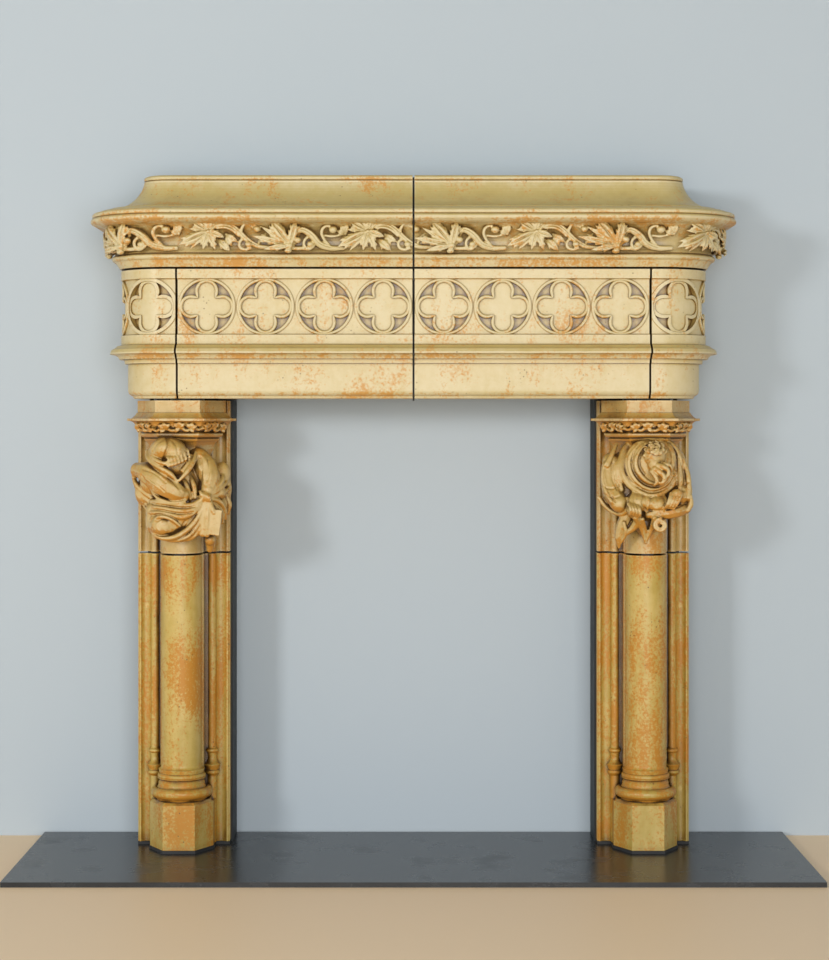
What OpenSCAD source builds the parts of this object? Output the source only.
// Gothic chimneypiece of hollow glazed stoneware blocks, standing on a steel hearth plate
// and held by a steel frame behind the blocks. Millimetres, +Z up, front towards -Y,
// origin under the middle of the hearth plate.

/* [Hearth plate] */
// Width of the steel hearth plate
plate_w = 1600; // [1400:1:2000]
// Depth of the hearth plate, from the wall to its front edge
plate_d = 500; // [460:1:700]
// Thickness of the hearth plate
plate_t = 10; // [6:0.5:20]
// Thickness of the pad under each jamb
pad_t = 6; // [3:0.5:12]

/* [Jambs] */
// Distance from the middle to each column's axis
jamb_x = 484; // [470:1:496]
// Width of the moulded wing behind the column
jamb_w = 193; // [184:1:204]
// Distance of the column's axis in front of the wall
column_from_wall = 174; // [170:1:180]
// Distance of the jamb's flat back in front of the wall, which is the depth of the posts
jamb_back_from_wall = 100; // [94:1:104]
// Thickness of the wing in front of that back
wing_t = 32; // [28:1:36]
// Diameter of the main column
column_d = 84; // [76:1:90]
// Diameter of each colonnette
colonnette_d = 17; // [13:0.5:19]
// Distance of each colonnette from the column's axis
colonnette_x = 60; // [57:0.5:64]
// Side of the hexagonal plinth
plinth_side = 66; // [62:1:72]
// Height of the plinth
plinth_h = 98; // [70:1:120]
// Height of the lower block of a jamb
shaft_block_h = 607; // [500:1:700]
// Height of the upper block of a jamb
capital_block_h = 317; // [290:1:360]
// Side of the hexagonal abacus
abacus_side = 92; // [90:1:98]

/* [Frieze] */
// Half the width of the frieze, at its fascia
frieze_half_w = 609; // [600:1:624]
// Distance of the fascia in front of the wall
frieze_from_wall = 280; // [276:1:290]
// Radius of the rounded corners, at the fascia
corner_r = 105; // [100:1:112]
// Height of the frieze blocks
frieze_h = 264; // [264:1:290]
// Number of quatrefoils on each front block
quatrefoil_count = 4; // [2:1:4]
// Width of the ring round each quatrefoil
ring_w = 7; // [5:0.5:9]
// Depth of the sunk field behind the tracery
field_depth = 14; // [11:0.5:16]

/* [Cornice] */
// Height of the cornice blocks
cornice_h = 193; // [193:1:220]
// Diameter of the vine's main stem
stem_d = 13; // [9:0.5:15]
// How far the leaves stand in front of the hollow
leaf_t = 17; // [12:0.5:22]

/* [Joints and walls] */
// Gap between blocks that stand side by side
side_joint = 4; // [2:0.5:6]
// Gap between blocks that stand on each other, kept by packers
bed_joint = 4; // [2:0.5:6]
// Wall thickness of the blocks
block_wall = 28; // [24:1:30]
// Side of each square packer
packer_w = 24; // [16:1:26]
// Diameter of the dowels between blocks
dowel_d = 16; // [10:1:18]
// Radial clearance round a dowel or a bolt in its hole
pin_clearance = 0.5; // [0.2:0.1:1]

/* [Steel frame] */
// Width of each post, across the front
post_w = 60; // [50:1:70]
// Wall thickness of the posts and beams
tube_wall = 4; // [3:0.5:6]
// How far each post stands into the fire opening past the stoneware
post_reveal = 4; // [2:0.5:8]
// Height of the beams
beam_h = 60; // [40:1:70]
// Thickness of the shelf, foot and bracket plates
bracket_t = 8; // [6:0.5:12]
// Diameter of the frame's bolts
bolt_d = 10; // [8:1:12]
// Radius of the wall fixing holes through the posts
wall_hole_r = 5.5; // [4.5:0.5:7]
// Height of the lower wall fixing holes
wall_hole_low = 250; // [200:1:400]
// Height of the upper wall fixing holes
wall_hole_high = 1050; // [960:1:1080]

/* [Hidden] */
$fn = 64;

// Places that follow from the driving sizes
eps = 0.5;
wall_gap = 5;
wall_y = plate_d / 2;
axis_y = wall_y - column_from_wall;
back_y = wall_y - jamb_back_from_wall;
wing_y = back_y - wing_t;
fascia_y = wall_y - frieze_from_wall;
corner_x = frieze_half_w - corner_r;
corner_y = fascia_y + corner_r;
return_y = wall_y - wall_gap;
half_joint = side_joint / 2;
front_end_x = jamb_x - half_joint;
corner_end_x = jamb_x + half_joint;
shaft_z = plate_t + pad_t;
capital_z = shaft_z + shaft_block_h + bed_joint;
frieze_z = capital_z + capital_block_h + bed_joint;
cornice_z = frieze_z + frieze_h + bed_joint;
top_z = cornice_z + cornice_h;
flat_to_corner = cos(30);

CREAM = "wheat";
OCHRE = "burlywood";
STEEL = "dimgray";
DARK = "black";

// Points of an arc round a centre, from one angle to another
function arc(centre, r, a0, a1, steps = 8) =
  [for (i = [0:steps]) let (a = a0 + (a1 - a0) * i / steps) centre + r * [cos(a), sin(a)]];

function moved(points, by) = [for (p = points) p + by];

// Right side for 1, left side for -1
module side(hand) {
  if (hand > 0) children();
  else mirror([1, 0, 0]) children();
}

module both_sides() {
  for (hand = [1, -1]) side(hand) children();
}

// A profile of [outward, upward] points run along the front, from one X to another,
// and closed at back_at
module front_run(points, from_x, to_x, back_at) {
  back = fascia_y - back_at;
  last = len(points) - 1;
  translate([to_x, fascia_y, 0]) rotate([90, 0, -90]) linear_extrude(to_x - from_x)
    polygon(concat(points, [[back, points[last][1]], [back, points[0][1]]]));
}

// The same profile turned round the corner, solid to the corner's axis
module corner_run(points) {
  last = len(points) - 1;
  translate([corner_x, corner_y, 0]) rotate([0, 0, -90]) rotate_extrude(angle = 90)
    polygon(concat(moved(points, [corner_r, 0]), [[0, points[last][1]], [0, points[0][1]]]));
}

// The same profile along the return, closed inner_at in from the corner's axis
module return_run(points, to_y, inner_at) {
  last = len(points) - 1;
  translate([corner_x, corner_y, 0]) rotate([90, 0, 0]) mirror([0, 0, 1])
    linear_extrude(to_y - corner_y)
      polygon(concat(moved(points, [corner_r, 0]),
                     [[inner_at, points[last][1]], [inner_at, points[0][1]]]));
}

module sweep_run(points, from_x, back_at, inner_at) {
  front_run(points, from_x, corner_x, back_at);
  corner_run(points);
  return_run(points, return_y, inner_at);
}

/* Profiles of the frieze and the cornice, outward from the fascia, up from the bed */

string_low = 72;
string_nose = 93;
fascia_low = 111;
field_low = 132;
field_high = frieze_h - 21;
ring_v = (field_low + field_high) / 2;
ring_d = field_high - field_low + 8;
string_out = 23;
base_in = -14;
foot_in = -26;

frieze_profile = concat(
  [[foot_in, 0]],
  arc([foot_in, 17], 12, -78, -12, 5),
  [[base_in, 17], [base_in, string_low], [base_in + 7, string_low], [base_in + 8, string_low + 10]],
  arc([string_out - 5, string_low + 4], 15, 160, 92, 6),
  [[string_out, string_nose - 1], [string_out, string_nose + 2]],
  arc([string_out + 6, fascia_low + 18], 29, 252, 224, 5),
  [[0, fascia_low], [0, field_low - 2], [-field_depth, field_low + 2],
   [-field_depth, field_high - 2], [0, field_high + 2], [0, frieze_h]]
);

hollow_centre = [53, 45];
hollow_r = 43;
nose_out = 63;
nose_v = 98;
lip_v = cornice_h - 10;
lip_out = -49;
hood_r = 74;

cornice_profile = concat(
  [[2, 0], [11, 14]],
  arc([13, 21], 6, -90, 90, 8),
  [[12, 28]],
  arc(hollow_centre, hollow_r, 202, 101, 10),
  [[46, 87], [55, 90]],
  arc([nose_out - 6, nose_v], 6, -75, 60, 6),
  arc([nose_out - 9, nose_v + 11], 6, -50, 70, 5),
  arc([32, 91], 30, 48, 100, 6),
  arc([24, lip_v + 15], hood_r, 270, 196, 14),
  [[lip_out + 2, lip_v - 2]],
  arc([lip_out - 3, lip_v + 4], 5, -60, 75, 6),
  [[lip_out - 4, cornice_h]]
);

// Front faces of the hollows inside the blocks, measured the same way
cornice_hollow = [[10 - block_wall, block_wall], [10 - block_wall, 104],
                  [lip_out - block_wall, cornice_h - block_wall]];

/* Hearth plate and pads */

foot_flange = 90;
post_in = jamb_x - jamb_w / 2 - post_reveal;
post_out = post_in + post_w;
foot_bolt_xs = [post_out + 26, post_out + foot_flange - 18];
foot_bolt_ys = [back_y + 22, wall_y - 22];

module foot_bolt_holes(d, low, h) {
  both_sides() for (x = foot_bolt_xs, y = foot_bolt_ys)
    translate([x, y, low]) cylinder(d = d, h = h);
}

module hearth_plate() {
  color(STEEL) difference() {
    translate([-plate_w / 2, -plate_d / 2, 0]) cube([plate_w, plate_d, plate_t]);
    foot_bolt_holes(bolt_d, -eps, plate_t + 2 * eps);
  }
}

module hexagon(corner) {
  circle(r = corner, $fn = 6);
}

// Plan of the moulded wing, hollowed outside each colonnette
wing_fillet = 6;
module wing_plan() {
  half = jamb_w / 2;
  span = half - wing_fillet - colonnette_x;
  difference() {
    translate([-half, wing_y]) square([jamb_w, wing_t]);
    for (s = [1, -1]) {
      translate([s * (colonnette_x + span * 0.62), wing_y - span * 0.2]) circle(r = span * 0.42);
      translate([s * (half + 1), wing_y - 1]) circle(r = wing_fillet - 1);
    }
  }
}

// Plan of the neck that ties the column to the wing
neck_w = 88;
module neck_plan() {
  difference() {
    translate([-neck_w / 2, axis_y]) square([neck_w, back_y - axis_y]);
    for (s = [1, -1]) translate([s * neck_w / 2, axis_y + 18]) circle(r = 12);
  }
}

module foot_plan() {
  translate([0, axis_y]) hexagon(plinth_side);
  translate([-plinth_side, axis_y]) square([2 * plinth_side, back_y - axis_y]);
  wing_plan();
}

module foot_pad() {
  color(DARK) translate([jamb_x, 0, plate_t]) linear_extrude(pad_t) {
    translate([0, axis_y]) hexagon(plinth_side + 2);
    translate([-plinth_side - 2, axis_y]) square([2 * plinth_side + 4, back_y - axis_y]);
    translate([-jamb_w / 2, wing_y]) square([jamb_w, wing_t]);
  }
}

/* Jambs */

torus_r = plinth_side - 2;
base_h = 72;
plinth_top = 6;
base_profile = concat(
  [[0, 0], [plinth_side * flat_to_corner - 6, 0], [torus_r - 10, 5]],
  arc([torus_r - 11, 16], 11, -80, 80, 8),
  arc([torus_r - 6, 33], 10, 225, 165, 5),
  [[45, 42], [50, 45]],
  arc([44, 50], 6, -40, 70, 6),
  arc([column_d / 2 + 9, base_h], 9, 250, 180, 4),
  [[0, base_h]]
);

pedestal_top = 54;
colonnette_base = concat(
  [[0, 0], [10, 0], [10, pedestal_top - 6], [13, pedestal_top - 3]],
  arc([11, pedestal_top + 2], 5, -55, 65, 4),
  arc([27, pedestal_top + 33], 18, 238, 178, 6),
  arc([colonnette_d / 2, pedestal_top + 47], 5, -70, 75, 5),
  [[colonnette_d / 2, pedestal_top + 55], [0, pedestal_top + 55]]
);

module colonnettes(h) {
  for (s = [1, -1]) translate([s * colonnette_x, wing_y - 3, 0]) cylinder(d = colonnette_d, h = h);
}

// Hollow inside a jamb block, open at the back
neck_wall = 22;
wing_wall = 40;
module jamb_hollow(h) {
  inside_h = h - 2 * block_wall;
  translate([-neck_w / 2 + neck_wall, axis_y - neck_wall / 2, block_wall])
    cube([neck_w - 2 * neck_wall, column_from_wall, inside_h]);
  translate([-jamb_w / 2 + wing_wall, wing_y + wing_t / 2, block_wall])
    cube([jamb_w - 2 * wing_wall, column_from_wall, inside_h]);
}

dowel_end = 2;
module dowel_hole(at, low, high) {
  translate([at[0], at[1], low]) cylinder(d = dowel_d + 2 * pin_clearance, h = high - low);
}

// Blind holes in a jamb's back for the bolts of its tie plates
tie_x = jamb_w / 2 - 18;
tie_anchor = 22;
shaft_ties = [110, shaft_block_h - 110];
capital_ties = [70, capital_block_h - 110];
module tie_holes(heights) {
  for (z = heights) translate([tie_x, back_y - tie_anchor - eps, z]) rotate([-90, 0, 0])
    cylinder(d = bolt_d + 2 * pin_clearance, h = tie_anchor + 2 * eps);
}

module shaft_block() {
  color(OCHRE) translate([jamb_x, 0, shaft_z]) difference() {
    union() {
      linear_extrude(shaft_block_h) {
        wing_plan();
        neck_plan();
      }
      translate([0, axis_y, 0]) cylinder(d = column_d, h = shaft_block_h);
      translate([0, axis_y, plinth_h]) rotate_extrude() polygon(base_profile);
      linear_extrude(plinth_h - plinth_top) foot_plan();
      translate([0, axis_y, plinth_h - plinth_top])
        cylinder(r1 = plinth_side, r2 = plinth_side - plinth_top, h = plinth_top, $fn = 6);
      translate([plinth_top - plinth_side, axis_y, plinth_h - plinth_top - eps])
        cube([2 * (plinth_side - plinth_top), back_y - axis_y, plinth_top + eps]);
      colonnettes(shaft_block_h);
      for (s = [1, -1]) translate([s * colonnette_x, wing_y - 3, plinth_h - plinth_top])
        rotate_extrude() polygon(colonnette_base);
    }
    jamb_hollow(shaft_block_h);
    dowel_hole([0, axis_y], shaft_block_h - block_wall - eps, shaft_block_h + eps);
    tie_holes(shaft_ties);
  }
}

// Hexagonal capital, as [corner radius, height below its top]
ring_side = 84;
leaf_side = 82;
moulding_side = 114;
abacus_h = 25;
capital_profile = concat(
  [[0, 0], [abacus_side, 0], [abacus_side, -abacus_h]],
  arc([moulding_side + 4, -abacus_h + 12], 27, 207, 250, 5),
  [[moulding_side, -abacus_h - 12], [moulding_side, -abacus_h - 17]],
  arc([moulding_side - 4, -abacus_h - 31], 14, 100, 165, 5),
  [[leaf_side + 10, -51], [leaf_side, -55], [leaf_side - 2, -63], [ring_side - 2, -64]],
  arc([ring_side - 4, -70], 6, 70, -70, 5),
  [[ring_side - 8, -77], [ring_side - 5, -80], [ring_side - 8, -84]],
  arc([ring_side + 6, -102], 24, 132, 178, 4),
  [[column_d / 2 + 12, -128], [column_d / 2 - 2, -150], [0, -150]]
);

// Outline of a lobed leaf from its tips, each [angle, reach], with a notch between two tips
tip_width = 8;
function polar(a, r) = r * [cos(a), sin(a)];
function turn_between(from, to) = (to[0] - from[0] + 360) % 360;
function lobe(a, reach, w) = [
  polar(a - 1.8 * w, 0.62 * reach), polar(a - w, 0.88 * reach), polar(a, reach),
  polar(a + w, 0.88 * reach), polar(a + 1.8 * w, 0.62 * reach)
];
function leaf_outline(tips, depth) = [
  for (i = [0:len(tips) - 1])
    let (n = len(tips), tip = tips[i], before = tips[(i + n - 1) % n], next = tips[(i + 1) % n],
         room = min(turn_between(before, tip), turn_between(tip, next)))
    each concat(lobe(tip[0], tip[1], min(tip_width, room / 4)),
                [polar(tip[0] + turn_between(tip, next) / 2, depth * min(tip[1], next[1]))])
];

sprig_tips = [[30, 15], [90, 12], [150, 15], [215, 12], [325, 12]];
sprig_v = -48;
sprig_t = 14;

module capital_leaves() {
  for (turn = [-60, 0, 60], x = [-30, 0, 30])
    rotate([0, 0, turn]) translate([x, 2 - leaf_side * flat_to_corner, sprig_v])
      rotate([90, 0, 0]) linear_extrude(sprig_t) polygon(leaf_outline(sprig_tips, 0.5));
}

frieze_dowel = [jamb_x + 52, axis_y + 20];
dowel_depth = block_wall + 4;

module capital_block() {
  color(OCHRE) translate([jamb_x, 0, capital_z]) difference() {
    union() {
      linear_extrude(capital_block_h) {
        wing_plan();
        neck_plan();
      }
      translate([0, axis_y, 0]) cylinder(d = column_d, h = capital_block_h - 100);
      translate([0, axis_y, capital_block_h]) {
        rotate_extrude($fn = 6) polygon(capital_profile);
        capital_leaves();
      }
      colonnettes(capital_block_h - 70);
    }
    translate([-2 * jamb_w, back_y, -eps]) cube([4 * jamb_w, jamb_w, capital_block_h + 2 * eps]);
    jamb_hollow(capital_block_h);
    dowel_hole([0, axis_y], -eps, block_wall + eps);
    dowel_hole(frieze_dowel - [jamb_x, 0], capital_block_h - dowel_depth, capital_block_h + eps);
    tie_holes(capital_ties);
  }
}

/* Crouching figures, modelled by hand and luted to the front of the capital blocks */

// A rounded mass between two balls
module mass(a, ra, b, rb) {
  hull() {
    translate(a) sphere(r = ra, $fn = 18);
    translate(b) sphere(r = rb, $fn = 18);
  }
}

// What stands behind a figure; the rounded parts leave it a hair of luting slip
slip = 0.3;
module figure_bed() {
  translate([0, 0, -eps]) {
    translate([0, axis_y, 0]) cylinder(d = column_d + 2 * slip, h = capital_block_h);
    linear_extrude(capital_block_h) {
      wing_plan();
      neck_plan();
    }
    for (s = [1, -1]) translate([s * colonnette_x, wing_y - 3, 0])
      cylinder(d = colonnette_d + 2 * slip, h = capital_block_h);
  }
  translate([0, axis_y, capital_block_h]) rotate_extrude($fn = 6) polygon(capital_profile);
}

column_front_y = axis_y - column_d / 2;

// Scholar in a round cap, bowed low over his knees, a closed book hanging from his left hand
module figure_left() {
  color(CREAM) translate([-jamb_x, 0, capital_z]) difference() {
    translate([0, column_front_y, 0]) {
      // head, cap brim and collar
      mass([-24, -36, 216], 29, [-22, -44, 206], 27);
      mass([-50, -36, 202], 9, [-14, -66, 186], 9);
      mass([-14, -66, 186], 9, [18, -46, 194], 9);
      mass([-34, -34, 184], 19, [2, -46, 162], 14);
      // trunk, his right sleeve from the elbow to the cuff, and its hanging end
      mass([0, -2, 174], 40, [4, 0, 108], 42);
      mass([-84, 16, 178], 15, [-62, -2, 176], 22);
      mass([-62, -2, 176], 22, [-2, -42, 126], 24);
      mass([-76, 14, 150], 11, [-46, -8, 108], 17);
      // his left arm and the cloak hanging from it
      mass([42, 4, 186], 26, [50, -6, 158], 27);
      mass([50, -6, 158], 27, [84, 16, 140], 18);
      mass([84, 16, 140], 18, [54, -28, 112], 16);
      mass([86, 18, 136], 13, [86, 22, 88], 12);
      // knees, lap and foot
      mass([-22, -34, 74], 33, [22, -30, 88], 28);
      mass([-44, -10, 98], 20, [50, -20, 102], 17);
      mass([-30, -14, 52], 21, [52, -4, 62], 22);
      mass([62, 0, 44], 15, [64, -4, 24], 12);
      translate([58, -34, 40]) rotate([4, -7, 0]) cube([30, 26, 60]);
    }
    figure_bed();
  }
}

// Bearded scholar in a hood, reading a scroll that rolls up below his hands
module figure_right() {
  color(CREAM) translate([jamb_x, 0, capital_z]) difference() {
    translate([0, column_front_y, 0]) {
      // hood, head and beard
      mass([0, -14, 190], 40, [4, -20, 166], 42);
      mass([6, -40, 204], 22, [6, -52, 196], 20);
      mass([12, -60, 182], 9, [24, -56, 172], 12);
      mass([24, -56, 172], 12, [8, -58, 150], 11);
      // trunk and his right arm, from the shoulder to the cuff and hand
      mass([0, 0, 150], 40, [2, 2, 104], 40);
      mass([-72, 18, 188], 20, [-76, 16, 140], 22);
      mass([-76, 16, 140], 22, [-58, -24, 106], 18);
      mass([-58, -24, 106], 17, [-34, -48, 98], 12);
      mass([-44, 0, 176], 28, [-62, 14, 182], 22);
      // his left arm, with the hand laid over the scroll
      mass([48, 4, 172], 26, [72, 18, 138], 22);
      mass([72, 18, 138], 22, [68, -16, 114], 20);
      mass([68, -16, 114], 17, [44, -44, 110], 11);
      mass([30, -36, 92], 12, [80, -8, 100], 15);
      // knees, the scroll's curled end, the wedge of cloak and the shoe
      mass([-22, -30, 112], 20, [18, -34, 106], 20);
      mass([-34, -30, 96], 15, [-48, -12, 60], 12);
      mass([-48, -12, 60], 11, [-58, -4, 24], 7);
      mass([18, -24, 66], 14, [20, 4, 68], 14);
      mass([-6, -4, 84], 20, [-6, -2, 48], 7);
    }
    figure_bed();
  }
}

/* Frieze blocks */

// A quatrefoil in its ring, lying flat, with the rolls standing up from the field
lobe_r = 17;
lobe_x = 32;
rim_w = 7;
panel_up = 6;
roll_base = 8;

module four_lobes(r) {
  for (a = [0:90:270]) rotate(a) translate([lobe_x, 0]) circle(r = r);
}

module quatrefoil_plan(r) {
  four_lobes(r);
  square([2 * lobe_x, 2 * r], center = true);
  square([2 * r, 2 * lobe_x], center = true);
}

module ring_plan() {
  difference() {
    circle(d = ring_d);
    circle(d = ring_d - 2 * ring_w);
  }
}

module rim_plan() {
  difference() {
    four_lobes(lobe_r + rim_w);
    quatrefoil_plan(lobe_r);
  }
}

// Half-round roll on top of a flat ring
module roll(r, w, h) {
  translate([0, 0, h]) rotate_extrude() intersection() {
    translate([r, 0]) circle(d = w, $fn = 24);
    square([2 * r, w]);
  }
}

module quatrefoil() {
  linear_extrude(roll_base) ring_plan();
  roll((ring_d - ring_w) / 2, ring_w, roll_base);
  linear_extrude(panel_up) quatrefoil_plan(lobe_r + rim_w / 2);
  difference() {
    union() {
      linear_extrude(roll_base) four_lobes(lobe_r + rim_w);
      for (a = [0:90:270]) rotate(a) translate([lobe_x, 0, 0]) roll(lobe_r + rim_w / 2, rim_w, roll_base);
    }
    translate([0, 0, panel_up]) linear_extrude(ring_d) quatrefoil_plan(lobe_r);
  }
}

quatrefoil_pitch = (front_end_x - half_joint) / quatrefoil_count;
front_dowel = [jamb_x / 2, axis_y - 40];

module frieze_front() {
  color(CREAM) translate([0, 0, frieze_z]) difference() {
    union() {
      front_run(frieze_profile, half_joint, front_end_x, back_y);
      intersection() {
        for (i = [0:quatrefoil_count - 1])
          translate([half_joint + quatrefoil_pitch * (i + 0.5), fascia_y + field_depth + eps, ring_v])
            rotate([90, 0, 0]) quatrefoil();
        translate([half_joint, fascia_y - eps, 0])
          cube([front_end_x - half_joint, corner_r, frieze_h]);
      }
    }
    translate([half_joint + block_wall, fascia_y + field_depth + block_wall, block_wall])
      cube([front_end_x - half_joint - 2 * block_wall, corner_r * 2, frieze_h - 2 * block_wall]);
    dowel_hole(front_dowel, frieze_h - block_wall - eps, frieze_h + eps);
  }
}

// The corner's ring starts at the joint, so its middle is this far round the corner
corner_turn = (ring_d / 2 + corner_end_x - corner_x) / corner_r * 180 / PI;
corner_dowel = [corner_x + 24, corner_y + 20];
return_inner = block_wall + corner_end_x - corner_x;
ring_face = 3;
rim_face = 5;

module corner_tracery(face, inside) {
  intersection() {
    translate([corner_x, corner_y, ring_v]) rotate([0, 0, corner_turn]) rotate([90, 0, 0])
      linear_extrude(2 * corner_r) children();
    difference() {
      translate([corner_x, corner_y, 0]) cylinder(r = corner_r - face, h = frieze_h);
      translate([corner_x, corner_y, -eps]) cylinder(r = corner_r - inside, h = frieze_h + 2 * eps);
    }
    translate([corner_end_x, fascia_y - eps, field_low - 2]) cube([corner_r * 2, corner_r * 2, ring_d]);
  }
}

module frieze_corner() {
  inset = field_depth + block_wall;
  color(CREAM) translate([0, 0, frieze_z]) difference() {
    union() {
      sweep_run(frieze_profile, corner_end_x, back_y, return_inner);
      corner_tracery(ring_face, field_depth + eps) ring_plan();
      corner_tracery(rim_face, field_depth + eps) rim_plan();
      corner_tracery(field_depth - panel_up, field_depth + eps) quatrefoil_plan(lobe_r + 1);
    }
    translate([0, 0, block_wall]) linear_extrude(frieze_h - 2 * block_wall) intersection() {
      union() {
        translate([corner_x, corner_y]) circle(r = corner_r - inset);
        translate([corner_x, fascia_y + inset]) mirror([1, 0]) square([corner_r, wall_y]);
        translate([corner_x - corner_r, corner_y]) square([2 * corner_r - inset, wall_y]);
      }
      translate([corner_end_x + block_wall, fascia_y]) square([corner_r, 2 * wall_y]);
    }
    dowel_hole(frieze_dowel, -eps, block_wall + eps);
    dowel_hole(corner_dowel, frieze_h - block_wall - eps, frieze_h + eps);
  }
}

/* Cornice blocks */

frame_room = corner_x - block_wall;

module cornice_solid() {
  sweep_run(cornice_profile, half_joint, return_y, 0);
}

module cornice() {
  color(CREAM) translate([0, 0, cornice_z]) difference() {
    cornice_solid();
    front_run(cornice_hollow, half_joint + block_wall, corner_x, wall_y);
    corner_run(cornice_hollow);
    return_run(cornice_hollow, wall_y, 0);
    // room for the steel frame behind
    translate([0, back_y, -eps]) cube([frame_room, wall_y, cornice_h - block_wall + eps]);
    dowel_hole(front_dowel, -eps, block_wall + eps);
    dowel_hole(corner_dowel, -eps, block_wall + eps);
  }
}

/* Vine luted into the cornice's hollow; it runs from left to right through both blocks */

vine_from_fascia = hollow_centre[0] - hollow_r;
vine_r = corner_r + vine_from_fascia;

// The open leaf and the standing leaf, each measured from the place where its stalk joins
open_tips = [[58, 22], [92, 24], [143, 36], [172, 38], [200, 50], [220, 66], [262, 42], [290, 40], [322, 32]];
standing_tips = [[80, 46], [103, 36], [133, 62], [150, 62], [173, 58], [226, 18]];
open_v = 71;
standing_v = 41;
leaf_back = 20;

leaf_edge = 0.6;
module leaf(tips, depth) {
  translate([0, leaf_back, 0]) rotate([90, 0, 0]) {
    linear_extrude(leaf_back + leaf_t * leaf_edge) polygon(leaf_outline(tips, depth));
    linear_extrude(leaf_back + leaf_t) polygon(leaf_edge * leaf_outline(tips, depth * leaf_edge));
  }
}

// One bend of a stem that starts at the origin along +X; a negative turn bends down
module bend(r, turn, d) {
  if (turn > 0) translate([0, r, 0]) rotate(-90) rotate_extrude(angle = turn)
    translate([r, 0]) circle(d = d, $fn = 20);
  else translate([0, -r, 0]) rotate(90 + turn) rotate_extrude(angle = -turn)
    translate([r, 0]) circle(d = d, $fn = 20);
}

// Where the next bend starts
module after_bend(r, turn) {
  way = turn > 0 ? 1 : -1;
  translate([r * sin(abs(turn)), way * r * (1 - cos(turn)), 0]) rotate(turn) children();
}

// A stem of up to four bends, each [radius, turn], with a bud at its end
module stem(bends, d, bud) {
  if (len(bends) > 0) {
    bend(bends[0][0], bends[0][1], d);
    after_bend(bends[0][0], bends[0][1])
      stem([for (i = [1:1:len(bends) - 1]) bends[i]], d, bud);
  }
  else if (bud > 0) sphere(d = bud, $fn = 24);
}

module stem_at(at, heading, bends, d, bud = 0) {
  translate([at[0], -leaf_t * 0.35, at[1]]) rotate([90, 0, 0]) rotate(heading) stem(bends, d, bud);
}

// From the open leaf over and down to the standing one, with two curling tendrils
module falling_stem() {
  stem_at([2, 2], 42, [[40, -84], [160, 8], [46, 62]], stem_d * 0.85, 0);
  stem_at([69, -10], 118, [[13, -215]], stem_d * 0.55, 15);
  stem_at([66, -12], 236, [[13, 205]], stem_d * 0.5, 12);
}

// From the standing leaf's stalk, looping back into a crook and down to the next open leaf
module rising_stem() {
  stem_at([-2, -2], -12, [[34, 30], [11, 130]], stem_d * 0.6, 0);
  stem_at([20, 22], 70, [[9, -105], [60, 35], [40, 35]], stem_d, 0);
  stem_at([64, 6], 112, [[13, -210]], stem_d * 0.55, 14);
}

// Puts children a distance along the vine from the middle, and round the corners
module along(s) {
  beyond = abs(s) - corner_x;
  hand = s < 0 ? -1 : 1;
  round_corner = vine_r * PI / 2;
  if (beyond <= 0) translate([s, fascia_y - vine_from_fascia, 0]) children();
  else if (beyond < round_corner) translate([hand * corner_x, corner_y, 0])
    rotate([0, 0, hand * beyond / vine_r * 180 / PI]) translate([0, -vine_r, 0]) children();
  else translate([hand * (corner_x + vine_r), corner_y + beyond - round_corner, 0])
    rotate([0, 0, hand * 90]) children();
}

module vine_leaves(open_at, standing_at) {
  for (s = open_at) along(s) translate([0, 0, open_v]) leaf(open_tips, 0.55);
  for (s = standing_at) along(s) translate([0, 0, standing_v]) leaf(standing_tips, 0.45);
}

module vine(hand, open_at, standing_at, falls, rises) {
  color(CREAM) translate([0, 0, cornice_z]) difference() {
    union() {
      vine_leaves(open_at, standing_at);
      for (s = falls) along(s) translate([0, 0, open_v]) falling_stem();
      for (s = rises) along(s) translate([0, 0, standing_v]) rising_stem();
    }
    side(hand) cornice_solid();
    // nothing crosses the middle joint or reaches the wall
    side(-hand) translate([-half_joint, -plate_d, 0]) cube([plate_w, plate_d * 2, cornice_h]);
    translate([-plate_w, return_y, 0]) cube([2 * plate_w, plate_d, cornice_h]);
  }
}

module vine_left() {
  vine(-1, [-414, -92], [-716, -600, -250], [-414, -92], [-600, -250]);
}

module vine_right() {
  vine(1, [249, 599], [78, 413, 716], [249], [78, 413]);
}

/* Steel frame */

post_base = plate_t + bracket_t;
post_top = top_z - block_wall - bed_joint;
beam_x = post_in;
shelf_z = frieze_z + frieze_h - block_wall - bed_joint - bracket_t;
shelf_y = fascia_y + field_depth + block_wall + 12;
beam_z = shelf_z - beam_h;

module tube(size) {
  difference() {
    cube(size);
    translate([tube_wall, tube_wall, -eps])
      cube([size[0] - 2 * tube_wall, size[1] - 2 * tube_wall, size[2] + 2 * eps]);
  }
}

// Bolts of the tie plates, sideways into the posts
post_bolt_y = back_y + 32;
tie_zs = concat([for (z = shaft_ties) shaft_z + z], [for (z = capital_ties) capital_z + z]);

module post() {
  color(STEEL) difference() {
    translate([post_in, back_y, post_base]) tube([post_w, jamb_back_from_wall, post_top - post_base]);
    for (z = [wall_hole_low, wall_hole_high])
      translate([post_in + post_w / 2, back_y - eps, z]) rotate([-90, 0, 0])
        cylinder(r = wall_hole_r, h = jamb_back_from_wall + 2 * eps);
    for (z = tie_zs) translate([post_out - tube_wall - eps, post_bolt_y, z]) rotate([0, 90, 0])
      cylinder(d = bolt_d + 2 * pin_clearance, h = tube_wall + 2 * eps);
  }
}

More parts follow.
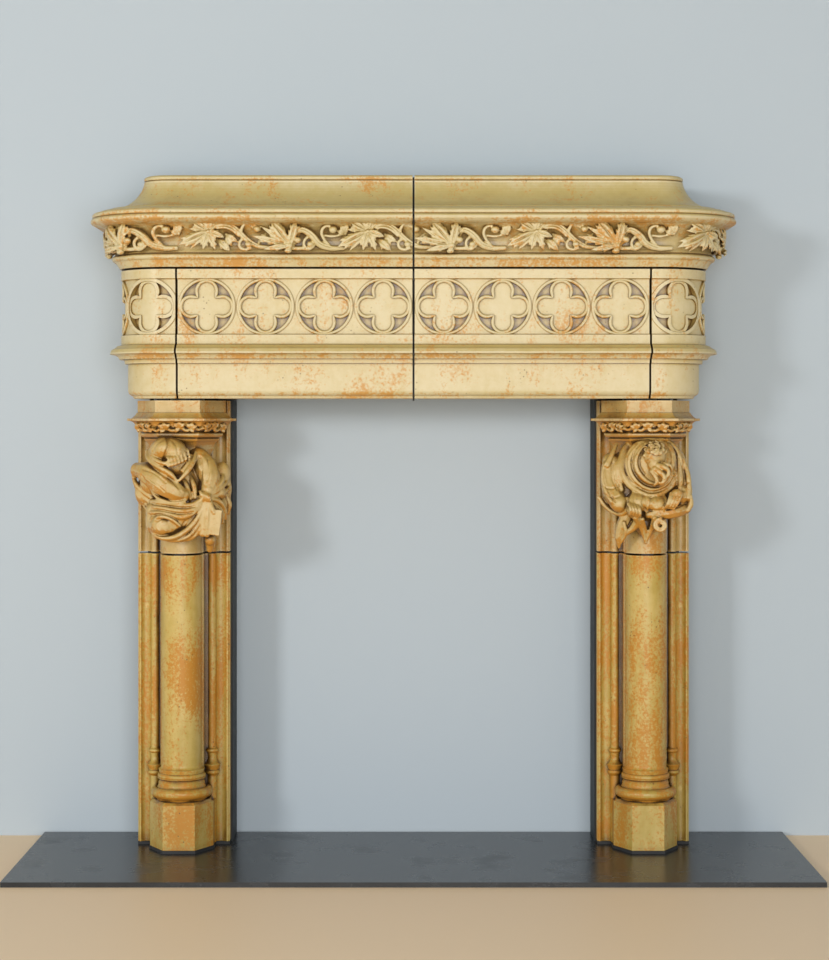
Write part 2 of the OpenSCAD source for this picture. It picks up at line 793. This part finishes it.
module post_foot() {
  color(STEEL) difference() {
    union() {
      translate([post_in, back_y, plate_t])
        cube([post_w + foot_flange, jamb_back_from_wall, bracket_t]);
      translate([post_out, (back_y + wall_y + bracket_t) / 2, post_base]) rotate([90, 0, 0])
        linear_extrude(bracket_t) polygon([[0, 0], [foot_flange - 10, 0], [12, 70], [0, 70]]);
    }
    foot_bolt_holes(bolt_d + 2 * pin_clearance, plate_t - eps, bracket_t + 2 * eps);
  }
}

head_h = bolt_d * 0.65;
head_r = bolt_d * 0.92;

// A hexagon bolt standing up from its seat, with its shank going down
module bolt(shank) {
  cylinder(r = head_r, h = head_h, $fn = 6);
  translate([0, 0, -shank]) cylinder(d = bolt_d, h = shank + eps);
}

module foot_bolts() {
  color(STEEL) both_sides() for (x = foot_bolt_xs, y = foot_bolt_ys)
    translate([x, y, post_base]) bolt(plate_t + bracket_t);
}

module lintel_beam() {
  color(STEEL) {
    translate([-beam_x, back_y, beam_z]) rotate([90, 0, 90])
      tube([jamb_back_from_wall, beam_h, 2 * beam_x]);
    // gussets that carry the shelf
    for (x = [-340, -170, 170, 340])
      translate([x - bracket_t / 2, back_y, shelf_z]) rotate([90, 0, 90]) linear_extrude(bracket_t)
        polygon([[0, 0], [shelf_y - back_y + 8, 0], [shelf_y - back_y + 8, -12], [0, -beam_h]]);
  }
}

shelf_x = half_joint + block_wall + 8;
module frieze_shelf() {
  color(STEEL) both_sides() translate([shelf_x, shelf_y, shelf_z])
    cube([beam_x - shelf_x, wall_y - shelf_y, bracket_t]);
}

module top_beam() {
  color(STEEL) translate([-beam_x, wall_y - beam_h, post_top - beam_h]) rotate([90, 0, 90])
    tube([beam_h, beam_h, 2 * beam_x]);
}

tie_h = 50;
tie_t = 6;
module tie_plates() {
  color(STEEL) both_sides() for (z = tie_zs) difference() {
    union() {
      translate([post_out, back_y, z - tie_h / 2])
        cube([jamb_x + tie_x + 14 - post_out, tie_t, tie_h]);
      translate([post_out, back_y, z - tie_h / 2]) cube([tie_t, 56, tie_h]);
    }
    translate([jamb_x + tie_x, back_y - eps, z]) rotate([-90, 0, 0])
      cylinder(d = bolt_d + 2 * pin_clearance, h = tie_t + 2 * eps);
    translate([post_out - eps, post_bolt_y, z]) rotate([0, 90, 0])
      cylinder(d = bolt_d + 2 * pin_clearance, h = tie_t + 2 * eps);
  }
}

module tie_bolts() {
  color(STEEL) both_sides() for (z = tie_zs) {
    translate([jamb_x + tie_x, back_y + tie_t, z]) rotate([-90, 0, 0]) bolt(tie_t + tie_anchor);
    translate([post_out + tie_t, post_bolt_y, z]) rotate([0, 90, 0]) bolt(tie_t + tube_wall + 8);
  }
}

/* Dowels and packers */

module dowel(at, low, high) {
  translate([at[0], at[1], low]) cylinder(d = dowel_d, h = high - low);
}

module jamb_dowels() {
  color(STEEL) both_sides() dowel([jamb_x, axis_y], capital_z - bed_joint - block_wall + dowel_end,
                                  capital_z + block_wall - dowel_end);
}

module frieze_dowels() {
  color(STEEL) both_sides() dowel(frieze_dowel, frieze_z - bed_joint - dowel_depth,
                                  frieze_z + block_wall - dowel_end);
}

module cornice_dowels() {
  color(STEEL) both_sides() for (at = [front_dowel, corner_dowel])
    dowel(at, cornice_z - bed_joint - block_wall + dowel_end, cornice_z + block_wall - dowel_end);
}

module packers(places, low) {
  color(DARK) both_sides() for (p = places)
    translate([p[0] - packer_w / 2, p[1] - packer_w / 2, low]) cube([packer_w, packer_w, bed_joint]);
}

bed_back = back_y - packer_w / 2 - 4;

module jamb_packers() {
  packers([[jamb_x - 64, bed_back], [jamb_x + 64, bed_back], [jamb_x, axis_y - 24]], capital_z - bed_joint);
}

module frieze_packers() {
  packers([[jamb_x - 36, axis_y - 50], [jamb_x - 60, bed_back], [jamb_x + 32, axis_y - 50],
           [jamb_x + 60, bed_back]], frieze_z - bed_joint);
}

module shelf_packers() {
  packers([[shelf_x + 40, shelf_y + 20], [shelf_x + 40, bed_back], [beam_x - 40, shelf_y + 20],
           [beam_x - 40, bed_back]], shelf_z + bracket_t);
}

module cornice_packers() {
  packers([[shelf_x + 40, shelf_y + 20], [shelf_x + 40, bed_back], [jamb_x - 80, shelf_y + 20],
           [jamb_x - 80, bed_back], [corner_x + 30, axis_y - 40], [corner_x + 50, wall_y - 60]],
          cornice_z - bed_joint);
}

module top_packers() {
  packers([[60, wall_y - beam_h / 2], [beam_x - 60, wall_y - beam_h / 2]], post_top);
}

/* Each sub-part by its name */

hearth_plate();
side(-1) foot_pad();  // foot_pad_left
side(1) foot_pad();  // foot_pad_right
side(-1) shaft_block();  // shaft_block_left
side(1) shaft_block();  // shaft_block_right
side(-1) capital_block();  // capital_block_left
side(1) capital_block();  // capital_block_right
figure_left();
figure_right();
side(-1) frieze_corner();  // frieze_corner_left
side(-1) frieze_front();  // frieze_front_left
side(1) frieze_front();  // frieze_front_right
side(1) frieze_corner();  // frieze_corner_right
side(-1) cornice();  // cornice_left
side(1) cornice();  // cornice_right
vine_left();
vine_right();
side(-1) post();  // post_left
side(1) post();  // post_right
side(-1) post_foot();  // post_foot_left
side(1) post_foot();  // post_foot_right
foot_bolts();
lintel_beam();
frieze_shelf();
top_beam();
tie_plates();
tie_bolts();
jamb_dowels();
frieze_dowels();
cornice_dowels();
jamb_packers();
frieze_packers();
shelf_packers();
cornice_packers();
top_packers();
